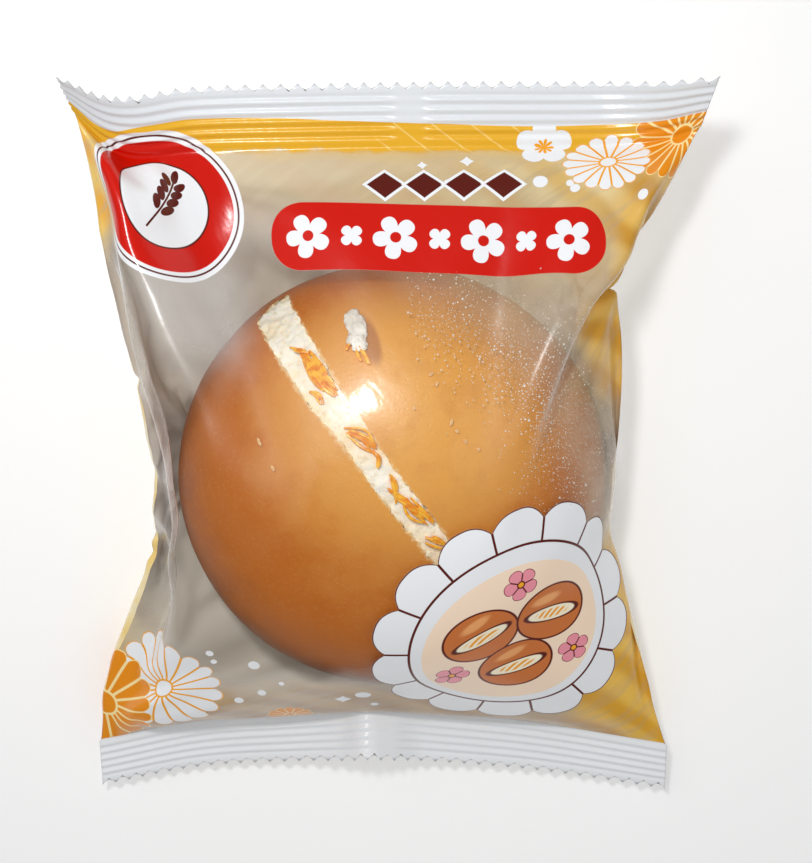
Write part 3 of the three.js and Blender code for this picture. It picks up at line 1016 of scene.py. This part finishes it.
# the print under everything else: silky folds in broad bands, pulled out of line
f, given, results = new_group("film_ground", {"Vector": ["Flat"]}, {"Color": ["Colour"], "Float": ["Cover"]})
f = Print(f.tree, given["Flat"])
apart = f.apart(f.flat)
x, y = apart[0], apart[1]
wander = f.noise(f.flat, 26.0) - 0.5
silk = f.node("TexWave", {
    "Vector": f.about(20, 60, 0.9), "Scale": 0.028, "Distortion": 5.0, "Detail": 2.0, "Detail Scale": 0.8,
}, "Fac")
sheen = f.rise(f.noise(f.about(0, 0, 0.6, 9.0, 1.4), 2.4), 0.3, 0.75)
f.colour, f.cover = CREAM, 0.0
for cx, cy, rx, ry, deep, light, most, soft in CORNERS:
    far = f.far(cx, cy, 0.0, rx, ry) + wander * 0.5
    share = f.fall(far, 1.0 - soft, 1.0, most)
    tone = f.over(f.rise(silk, 0.0, 1.0), deep, light)
    f.colour = f.over(f.rise(far, 0.98 - soft, 1.06), tone, f.colour) if f.cover else tone
    f.cover = f.math("MAXIMUM", f.cover, share * f.rise(sheen, 0.0, 0.6, 0.86, 1.0))
# a cream veil over the upper part, which deepens to gold under the band
veil = f.rise(y + x * 0.3 + wander * 14.0, 48.0, 70.0, 0.0, 0.6) * f.fall(abs(x), 48.0, 66.0)
streaked = f.over(f.rise(sheen, 0.2, 0.9), ink(206, 180, 116), ink(230, 208, 154))
f.colour = f.over(veil * (1.0 - f.cover), f.colour, streaked)
f.cover = f.math("MAXIMUM", f.cover, veil)
fade = f.rise(y + wander * 10.0, 68.0, 84.0, 0.0, 0.85)
f.lay(fade * f.rise(x, -40.0, -20.0), ink(228, 192, 110))
far = 9.0
for cx, cy, size in DOTS:
    far = f.math("MINIMUM", far, f.vector("DISTANCE", f.flat, (cx, cy, 0)) - size)
for cx, cy, size in DIAMONDS:
    split = f.apart(f.vector("ABSOLUTE", f.about(cx, cy)))
    far = f.math("MINIMUM", far, (split[0] ** 0.8 + split[1] ** 0.8) ** 1.25 - size)
f.lay(f.fall(far, -0.1, 0.1), WHITE)
f.fill(results, {"Colour": f.colour, "Cover": f.cover})
film_ground = f.tree

# the print of the end seals: a yellow band under the top one, then white to the edge
f, given, results = new_group("seal_ground", {"Vector": ["Flat"]}, {"Float": ["Gold", "Slants", "White"]})
flat = given["Flat"]
apart = f.apart(flat)
x, y = apart[0], apart[1]
wander = f.noise(flat, 26.0) - 0.5
ragged = (f.noise(flat, 5.0, 3.0) - 0.5) * 3.0
# the film is pulled up a little on the left, and its print with it
pulled = f.math("MAXIMUM", f.rise(x, -64.0, -46.0, 0.0, -2.6), f.rise(x, -38.0, 36.0, -2.6, 0.0))
band = f.rise(y + pulled * 0.3 + ragged + wander * 3.2, 80.2, 82.0)
slant = f.fall(f.math("PINGPONG", x * 0.8 + y, 3.1), 0.12, 0.3)
slant = slant * f.fall(abs(x - 18.0), 13.0, 16.0, 0.55)
top = f.rise(y + pulled + wander * 0.8, 87.0, 87.2)
white = f.math("MAXIMUM", top, f.fall(y, -82.6, -82.3))
f.fill(results, {"Gold": band, "Slants": slant * band, "White": white})
film_seal = f.tree


def print_ground(f):
    """Gold corners and white dots."""
    out = f.group(film_ground, {"Flat": f.flat})
    f.lay(out["Cover"], out["Colour"])


def print_band(f):
    """The yellow band."""
    out = f.group(film_seal, {"Flat": f.flat})
    f.lay(out["Gold"], GOLD)
    f.lay(out["Slants"], ink(252, 222, 140))


def print_seals(f):
    """White on both end seals."""
    upper = f.rise(f.apart(f.flat)[1], -40.0, 40.0)
    f.lay(f.group(film_seal, {"Flat": f.flat})["White"], f.over(upper, WHITE, TOP_WHITE))


DAMP_GREY, DAMP_WARM = ink(226, 226, 224), ink(212, 190, 158)
MOST_GREY, MOST_WARM = 0.4, 0.37
INK_SHADOW = 0.4
FILM_SHINE, FILM_DENSITY = 1.25, 1.5
# moist, dull places of the film: across, up, turn, reach across, reach up
DULL_PLACES = [
    (-26.0, 14.0, 0.0, 13.0, 34.0), (27.0, 22.0, -0.3, 12.0, 24.0), (-59.0, 46.0, 0.0, 11.0, 26.0),
    (38.0, 14.0, 0.0, 18.0, 38.0),
]


def printed(name, *prints):
    """A finish for part of the film: its prints over clear film, grey on its inner face."""
    material, f = finish(name)
    flat = f.scaled(f.node("UVMap", uv_map="flat"), 100.0)
    f = Print(f.tree, flat)
    # moisture inside greys the film at its upper left, and over the bun's rim at its upper right
    apart, patchy = f.apart(f.flat), f.noise(f.flat, 9.0, 3.0)
    damp = f.far(-42.0, 50.0, 0.4, 17.0, 27.0) + patchy * 0.4
    rim = f.far(2.0, -3.0, 0.0, 52.0, 55.0)
    fog = f.rise(rim, 0.68, 0.98) * f.fall(rim, 1.25, 1.7) * f.rise(apart[0] + apart[1] * 0.45, 14.0, 52.0)
    fog = fog * f.rise(patchy, 0.2, 0.8, 0.7 * MOST_WARM, 1.3 * MOST_WARM)
    f.cover = f.math("MAXIMUM", fog, f.fall(damp, 0.45, 1.25, MOST_GREY))
    f.colour = f.over(f.rise(apart[0], -24.0, 24.0), DAMP_GREY, DAMP_WARM)
    for draw in prints:
        draw(f)
    inner = f.node("NewGeometry", give="Backfacing")
    ripple = f.noise(f.about(0, 0, 0.5, 1.0, 2.6), 3.4)
    bump = f.bump(ripple + f.noise(f.flat, 0.9, 1.0) * 0.12, 0.5, 0.00016)
    inked = f.coat({
        "Base Color": f.over(inner, f.colour, INSIDE_GREY),
        "Roughness": f.rise(inner, 0.0, 1.0, 0.22, 0.6),
        "Normal": bump,
    })
    clear = f.node("BsdfTransparent", {"Color": (0.97, 0.97, 0.965)})
    # moisture dulls the film in the soft valleys beside the bun's crown and in the fold at its left
    valley = 9.0
    for place in DULL_PLACES:
        valley = f.math("MINIMUM", valley, f.far(*place))
    dull = f.rise(valley, 0.6, 1.2, 0.62, 0.12)
    shines = [
        f.node("BsdfGlossy", {"Color": (1.0, 1.0, 1.0), "Roughness": rough, "Normal": bump})
        for rough in (dull, f.math("MAXIMUM", dull, 0.38))
    ]
    shine = f.node("MixShader", {0: 0.5, 1: shines[0], 2: shines[1]})
    # film is thin, so it shines alike from both sides
    dense = f.rise(inner, 0.0, 1.0, FILM_DENSITY, 1 / FILM_DENSITY)
    share = f.node("Fresnel", {"IOR": dense, "Normal": bump}) * FILM_SHINE
    glass = f.node("MixShader", {0: share, 1: clear, 2: shine})
    # ink this thin lets part of the light through to the bun
    in_shadow = f.node("LightPath", give="Is Shadow Ray")
    solid_ink = f.cover * f.rise(in_shadow, 0.0, 1.0, 1.0, INK_SHADOW)
    whole = f.node("MixShader", {0: solid_ink, 1: glass, 2: inked})
    f.fill(material.node_tree.nodes["Material Output"], {"Surface": whole})
    return material


def banner_motif(f):
    """A red bar with a row of white blossoms, and brown lozenges above it."""
    place = f.about(14.6, 59.3, math.radians(-4.2))
    f.lay(f.fall(f.bar(place, 36.6, 7.6, 7.3), -0.1, 0.1), RED)
    for k in range(7):
        spread = f.about((k - 3) * 9.4, 0.0, math.pi / 4, within=place)
        radius, count = ((4.9, 5.0), (2.6, 4.0))[k % 2]
        f.lay(f.petals(spread, radius, count, 0.5, 0.35, 0.02)["Body"], WHITE)
        if k % 2 == 0:
            f.lay(f.fall(f.vector("LENGTH", spread), 1.1, 1.3), RED)
    for k in range(4):
        spread = f.about(3.6 + k * 8.4, 72.4 - 0.35 * k, math.radians(-3))
        split = f.apart(f.vector("ABSOLUTE", spread))
        far = split[0] * 0.85 + split[1] - 3.3
        f.lay(f.fall(far, 0.8, 1.0), WHITE)
        f.lay(f.fall(far, -0.1, 0.1), BROWN)


def badge_motif(f):
    """A round red and white badge with a wheat ear."""
    place = f.about(-47.4, 69.3, 0.0, 1.06, 1.04)
    far = f.vector("LENGTH", place)
    rings = ((18.6, WHITE), (17.6, BROWN), (17.2, WHITE), (16.4, RED), (11.2, BROWN), (10.8, WHITE))
    for radius, colour in rings:
        f.lay(f.fall(far, radius - 0.1, radius + 0.1), colour)
    # the ear: a stalk with grains leaning out on both sides
    ear = f.about(0.0, -0.5, math.radians(-28), within=place)
    split = f.apart(ear)
    side = f.node("CombineXYZ", {0: abs(split[0]), 1: split[1]})
    far = f.bar(ear, 0.25, 8.0, 0.2)
    grains = [(1.75, -1.6 + 2.6 * k, math.radians(-32), 0.95, 2.0) for k in range(4)]
    for grain in grains + [(0.0, 8.4, 0.0, 0.95, 2.1)]:
        far = f.math("MINIMUM", far, f.far(*grain, within=side) - 1.0)
    f.lay(f.fall(far, -0.06, 0.06), BROWN)


def upper_motif(f):
    """Chrysanthemums and a plum blossom in the upper right corner."""
    f.flower(66.5, 82.5, 11.5, 18, ORANGE, CREAM_LINE, line=0.5, middle=ORANGE)
    f.flower(50.6, 76.8, 9.8, 16, WHITE, LINE_ORANGE, eye=0.2, line=0.5, high=0.84, middle=WHITE)
    f.flower(37.0, 82.8, 5.6, 5, WHITE, WHITE, turn=math.pi / 2, rounded=0.3, eye=0.05, line=0.02)
    f.lay(f.petals(f.about(37.0, 82.4), 2.0, 9.0, 0.85, 0.3, 0.05)["Body"], LINE_ORANGE)


def lower_motif(f):
    """Chrysanthemums in the lower left corner and the top of one at the seal."""
    f.flower(-54.4, -56.6, 16.2, 18, WHITE, LINE_ORANGE, eye=0.18, line=0.6, middle=WHITE)
    f.flower(-70.5, -69.0, 15.8, 16, ORANGE, CREAM_LINE, line=0.7, middle=ORANGE)
    f.flower(-22.4, -69.4, 5.6, 12, ORANGE, CREAM_LINE, line=0.3, middle=ORANGE)


def rosette_motif(f):
    """A white scalloped mat with a brown outline, three small buns on it and pink blossoms."""
    f.flower(30.0, -36.0, 33.5, 14, WHITE, BROWN, rounded=0.1, eye=0.74, line=0.6, turn=0.2, high=1.04,
             middle=WHITE)
    place = f.about(30.0, -37.0)
    f.lay(f.fall(f.vector("LENGTH", place), 21.9, 22.1), ink(252, 226, 200))
    for x, y, turn in ((-8.6, 4.2, 0.3), (8.8, 5.4, -0.25), (0.6, -8.6, 0.1)):
        bread = f.far(x, y, turn, 8.6, 7.6, within=place)
        f.lay(f.fall(bread, 1.05, 1.08), BROWN)
        f.lay(f.fall(bread, 0.99, 1.01), ink(206, 116, 56))
        glow = f.far(x - 1.6, y + 4.4, turn + 0.3, 4.8, 1.7, within=place)
        f.lay(f.fall(glow, 0.5, 1.0, 0.8), ink(244, 176, 112))
        cut = f.far(x + 0.2, y - 0.4, turn + 0.12, 6.6, 2.0, within=place)
        f.lay(f.fall(cut, 1.1, 1.2), BROWN)
        f.lay(f.fall(cut, 0.9, 1.0), ink(255, 244, 214))
        strands = f.math("PINGPONG", f.far(x + 9, y - 9, within=place), 0.7)
        f.lay(f.rise(strands, 0.3, 0.4) * f.fall(cut, 0.5, 0.75), ink(246, 160, 30))
    for k, (x, y) in enumerate(((-14.6, -9.0), (15.2, -8.0), (0.4, 16.8))):
        f.flower(x, y, 4.2, 5, ink(240, 150, 165), BROWN, rounded=0.3, eye=0.2, line=0.35, turn=0.4 * k,
                 middle=ink(250, 170, 40), within=place)


def rear_motif(f):
    """The back: two white panels with a gold line in a cream field, flowers in its corners."""
    silk = f.noise(f.about(0, 0, 0.6, 6.0, 1.6), 7.0)
    f.lay(1.0, f.over(f.rise(silk, 0.35, 0.65), ink(240, 208, 130), ink(247, 234, 196)))
    for cx in (108.0, 176.0):
        out = f.bar(f.about(cx, 0.0), 25.0, 62.0, 6.0)
        f.lay(f.fall(out, -0.1, 0.1), WHITE)
        f.lay(f.fall(abs(out + 1.6), 0.25, 0.4), ORANGE)
    for k, (x, y) in enumerate(((82.0, 72.0), (203.0, 70.0), (86.0, -71.0), (200.0, -72.0))):
        fill, outline = ((WHITE, LINE_ORANGE), (ORANGE, CREAM))[k % 2]
        f.flower(x, y, 10.0, 16, fill, outline, middle=fill)
    f.flower(213.5, -69.0, 15.8, 16, ORANGE, CREAM_LINE, line=0.7, middle=ORANGE)


# finish of each region of the film: what is printed, then its low and high corner; the first
# region that holds a face gives it its finish
UPPER_PRINTS = (print_ground, print_band, upper_motif, print_seals)
BADGE_PRINTS = (print_ground, print_band, badge_motif, print_seals)
REGIONS = [
    ("film_upper_flowers", UPPER_PRINTS, (31.0, 77.0), (79.0, 88.0)),
    ("film_upper_flowers", UPPER_PRINTS, (34.8, 66.3), (79.0, 77.0)),
    ("film_banner", (print_ground, banner_motif), (-25.0, 47.0), (54.0, 78.0)),
    ("film_badge", BADGE_PRINTS, (-71.0, 46.0), (-26.0, 88.5)),
    ("film_lower_flowers", (print_ground, lower_motif, print_seals), (-71.0, -83.0), (-9.0, -40.0)),
    ("film_rosette", (print_ground, rosette_motif, print_seals), (-6.0, -83.0), (66.0, 0.0)),
    ("film_seal", (print_band, print_seals), (-72.0, 82.5), (214.0, 97.0)),
    ("film_seal", (print_band, print_seals), (-72.0, -97.0), (214.0, -82.5)),
    ("film_back", (rear_motif,), (71.0, -97.0), (214.0, 97.0)),
    ("film_window", (), (-44.0, -36.0), (46.0, 38.0)),
    ("film_border", (print_ground, print_band), (-72.0, -97.0), (72.0, 97.0)),
]
finishes = {}
for name, prints, low, high in REGIONS:
    if name not in finishes:
        finishes[name] = len(finishes)
        film.data.materials.append(printed(name, *prints))
flat_map = film.data.uv_layers["flat"].data
for face in film.data.polygons:
    spots = [flat_map[k].uv * MAP_SCALE for k in face.loop_indices]
    middle = sum(spots, Vector((0, 0))) / len(spots)
    for name, prints, low, high in REGIONS:
        if low[0] <= middle.x < high[0] and low[1] <= middle.y < high[1]:
            face.material_index = finishes[name]
            break
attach(film, "root")
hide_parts("sealed_pack")



def between(grid, across, up):
    """A point of a grid at a share of its width and height."""
    j = min(up * (grid.shape[0] - 1), grid.shape[0] - 1.001)
    i = min(across * (grid.shape[1] - 1), grid.shape[1] - 1.001)
    a, b = int(j), int(i)
    low = grid[a, b] * (1 - i + b) + grid[a, b + 1] * (i - b)
    high = grid[a + 1, b] * (1 - i + b) + grid[a + 1, b + 1] * (i - b)
    return low * (1 - j + a) + high * (j - a)


# Drops of water have settled on the inner side of the front, over the bun's right side.
DROP_COUNT, DROP_SPACING = 2200, 0.72
# they lie on part of a ring: its radius and half its width, the middle of the part and its half
RING_RADIUS, RING_HALF, RING_TURN, RING_PART = 48.0, 8.5, 0.58, 0.7
drop = add(bpy.ops.mesh.primitive_ico_sphere_add, "drop", subdivisions=1, radius=1.0)
drop_points = np.array([v.co for v in drop.data.vertices])
drop_faces = [tuple(face.vertices) for face in drop.data.polygons]
bpy.data.objects.remove(drop)
front_ways = facing_of(film_front)
corners, faces, taken = [], [], set()
while len(faces) < DROP_COUNT * len(drop_faces):
    across, up = rng.uniform(0.55, 0.94), rng.uniform(0.42, 0.86)
    right, high = (across - 0.51) * FILM_WIDTH, (up - 0.48) * FILM_LENGTH
    outward = (math.hypot(right, high) - RING_RADIUS) / RING_HALF
    away = math.hypot(outward, (math.atan2(high, right) - RING_TURN) / RING_PART)
    cell = (round(right / DROP_SPACING), round(high / DROP_SPACING))
    if cell in taken or rng.random() > math.exp(-0.9 * away * away):
        continue
    taken.add(cell)
    size = min(0.36, 0.145 * math.exp(rng.normal(0.0, 0.3)))
    way = Vector(between(front_ways, across, up)).normalized()
    place = Vector(between(film_front, across, up)) + PACK_SHIFT - way * 0.1
    turn = Vector((0, 0, 1)).rotation_difference(way)
    faces += [tuple(k + len(corners) for k in face) for face in drop_faces]
    for x, y, z in drop_points:
        corners.append((place + turn @ Vector((x * size, y * size, z * size * 0.5))) * MM)
mesh = bpy.data.meshes.new("water_drops")
mesh.from_pydata(corners, [], faces)
drops = in_scene("water_drops", mesh)
smooth(drops)
water, f = finish("water")
patches = f.noise(f.node("TexCoord", give="Object"), 0.004)
f.coat({
    "Base Color": f.over(patches, ink(255, 254, 250), ink(236, 232, 224)),
    "Roughness": 0.08,
    "Specular IOR Level": 0.8,
    "Alpha": 0.6,
})
drops.data.materials.append(water)
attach(drops, "root")

# The tube is closed down its back by a fin seal, which lies folded flat to one side.
FIN_WIDTH, FIN_STEPS, FIN_GAP, FIN_RIB = 10.5, 14, 0.14, 0.05
back_ways = facing_of(film_back)
work = bmesh.new()
grid = []
for j in range(film_back.shape[0]):
    up = j / (film_back.shape[0] - 1)
    start = (FIN_PLACES[0] + (FIN_PLACES[1] - FIN_PLACES[0]) * up) / FILM_WIDTH + 0.5
    line = []
    for k in range(FIN_STEPS + 1):
        across = start + FIN_WIDTH / FILM_WIDTH * k / FIN_STEPS
        way = between(back_ways, across, up)
        gap = 0.02 if k == 0 else FIN_GAP + FIN_RIB * (k % 2)
        place = between(film_back, across, up) - way / np.linalg.norm(way) * gap
        place[2] = max(place[2], 0.06)
        line.append(work.verts.new((Vector(place) + PACK_SHIFT) * MM))
    grid.append(line)
for low, high in zip(grid, grid[1:]):
    for k in range(FIN_STEPS):
        work.faces.new((low[k], high[k], high[k + 1], low[k + 1]))
mesh = bpy.data.meshes.new("back_fin")
work.to_mesh(mesh)
work.free()
fin = in_scene("back_fin", mesh)
apply(fin, "SOLIDIFY", thickness=0.05 * MM, offset=-1.0)
smooth(fin)
fin_film, f = finish("fin_film")
place = f.scaled(f.node("TexCoord", give="Object"), PER_METRE)
f.coat({
    "Base Color": f.over(f.noise(place, 9.0), ink(238, 222, 178), ink(246, 238, 216)),
    "Roughness": 0.3,
    "Normal": f.bump(f.noise(place, 2.0), 0.5, 0.00015),
})
fin.data.materials.append(fin_film)
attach(fin, "root")

# Studio
# A white sheet under the pack, a phone's flash close beside the camera, which gives the hard
# glint on the film, and soft light from all round.
sheet = add(bpy.ops.mesh.primitive_plane_add, "white_sheet", size=8, location=(0, 0, -0.0002))
settle(sheet)
paper, f = finish("white_paper")
f.coat({"Base Color": (0.93, 0.93, 0.93), "Roughness": 0.9, "Emission Color": (1, 1, 1),
        "Emission Strength": 0.12})
sheet.data.materials.append(paper)


def lamp(name, place, size, watts):
    """A square soft light, aimed at a point; places in millimetres."""
    data = bpy.data.lights.new(name, "AREA")
    data.size = size * MM
    data.energy = watts
    obj = in_scene(name, data)
    obj.location = Vector(place) * MM
    aim = Vector(LAMP_TARGET) * MM - obj.location
    obj.rotation_euler = aim.to_track_quat("-Z", "Y").to_euler()
    return obj


VIEW_TILT, VIEW_DISTANCE = math.radians(14), 300
VIEW_TARGET = Vector((0.0, 0.0, 25.0)) + PACK_SHIFT
view_back = Vector((0, math.sin(VIEW_TILT), math.cos(VIEW_TILT)))
LAMP_TARGET = (0, 0, 25)
lamp("flash", VIEW_TARGET + Vector((-50, 153, 286)), 34, 0.52)
lamp("window", (-500, 420, 700), 600, 1.2).visible_glossy = False
lamp("room", (560, -260, 620), 700, 0.7).visible_glossy = False
ROOM_LIGHT, ROOM_MIRRORED = 0.42, 0.14
world = bpy.data.worlds.new("soft_room")
bpy.context.scene.world = world
world.use_nodes = True
room = Finish(world.node_tree)
mirrored = room.node("LightPath", give="Is Glossy Ray")
strength = ROOM_LIGHT - mirrored * (ROOM_LIGHT - ROOM_MIRRORED)
room.fill(world.node_tree.nodes["Background"], {"Color": (1, 1, 1), "Strength": strength})

lens = bpy.data.cameras.new("photo_camera")
camera = in_scene("photo_camera", lens)
side = Vector((1, 0, 0))
camera.location = (VIEW_TARGET + view_back * VIEW_DISTANCE) * MM
camera.rotation_euler = Matrix((side, view_back.cross(side), view_back)).transposed().to_euler()
# in pixels of the photo: its height, the focal length, and how far its axis lies off its middle
PICTURE_HEIGHT, FOCUS = 863, 1320
lens.sensor_width = 36
lens.lens = 36 * FOCUS / PICTURE_HEIGHT
lens.shift_x = (406 - 396) / PICTURE_HEIGHT
lens.shift_y = (470 - 431.5) / PICTURE_HEIGHT
lens.clip_start = 0.01
bpy.context.scene.camera = camera
bpy.context.scene.view_settings.view_transform = "Standard"
